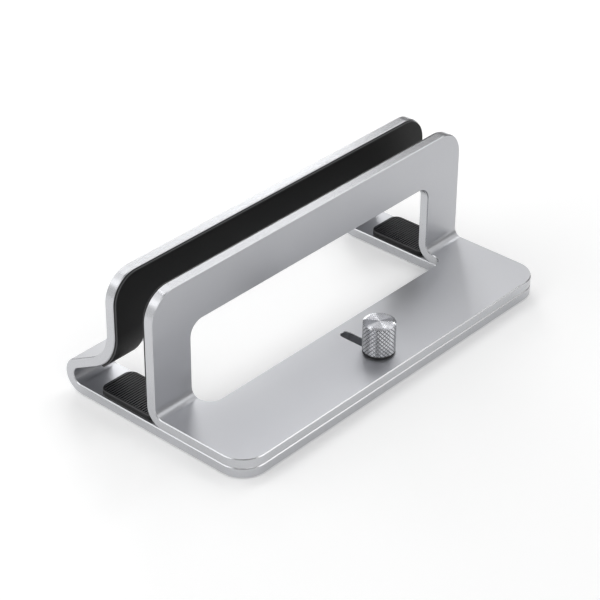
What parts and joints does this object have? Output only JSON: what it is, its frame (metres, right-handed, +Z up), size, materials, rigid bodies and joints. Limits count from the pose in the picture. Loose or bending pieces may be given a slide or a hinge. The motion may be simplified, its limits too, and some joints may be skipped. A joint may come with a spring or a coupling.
{
  "type": "vertical laptop stand",
  "caption": "Adjustable vertical laptop stand: a folded aluminium base with a padded rear wall, and a padded front wall that slides and is clamped by a knurled knob.",
  "frame": {"origin": "middle of the footprint, on the surface the stand rests on", "axes": "+X along the walls, to the right seen from the knob's side; +Y from the front edge with the knob towards the rear wall; +Z up"},
  "size_m": [0.18, 0.0938, 0.0605],
  "materials": {
    "bead_blasted_aluminium": "bead blasted, silver anodised",
    "turned_aluminium": "turned and knurled, silver anodised",
    "black_silicone": "matt silicone",
    "black_nylon": "satin nylon",
    "steel": "zinc plated"
  },
  "bodies": {
    "base": {"base_bracket": "bead_blasted_aluminium", "rear_wall_pad": "black_silicone", "left_rest_pad": "black_silicone", "right_rest_pad": "black_silicone", "clamp_screw": "steel", "left_guide_pin": "steel", "right_guide_pin": "steel", "front_left_foot": "black_silicone", "front_right_foot": "black_silicone", "rear_left_foot": "black_silicone", "rear_right_foot": "black_silicone"},
    "slider": {"sliding_bracket": "bead_blasted_aluminium", "front_wall_pad": "black_silicone"},
    "washer": {"knob_washer": "black_nylon"},
    "knob": {"clamp_knob": "turned_aluminium"}
  },
  "joints": [
    {"name": "bracket_slide", "type": "slide", "parent": "base", "child": "slider", "axis": [0, -1, 0], "range_m": [0, 0.0168]},
    {"name": "washer_lift", "type": "slide", "parent": "base", "child": "washer", "axis": [0, 0, 1], "range_m": [0, 0.00141]},
    {"name": "knob_turn", "type": "hinge", "parent": "washer", "child": "knob", "pos_m": [0, -0.0344, 0.0099], "axis": [0, 0, 1], "range_deg": [0, 720]}
  ],
  "couplings": [
    {"joint": "washer_lift", "follows": "knob_turn", "m_per_rad": 0.00011141}
  ]
}
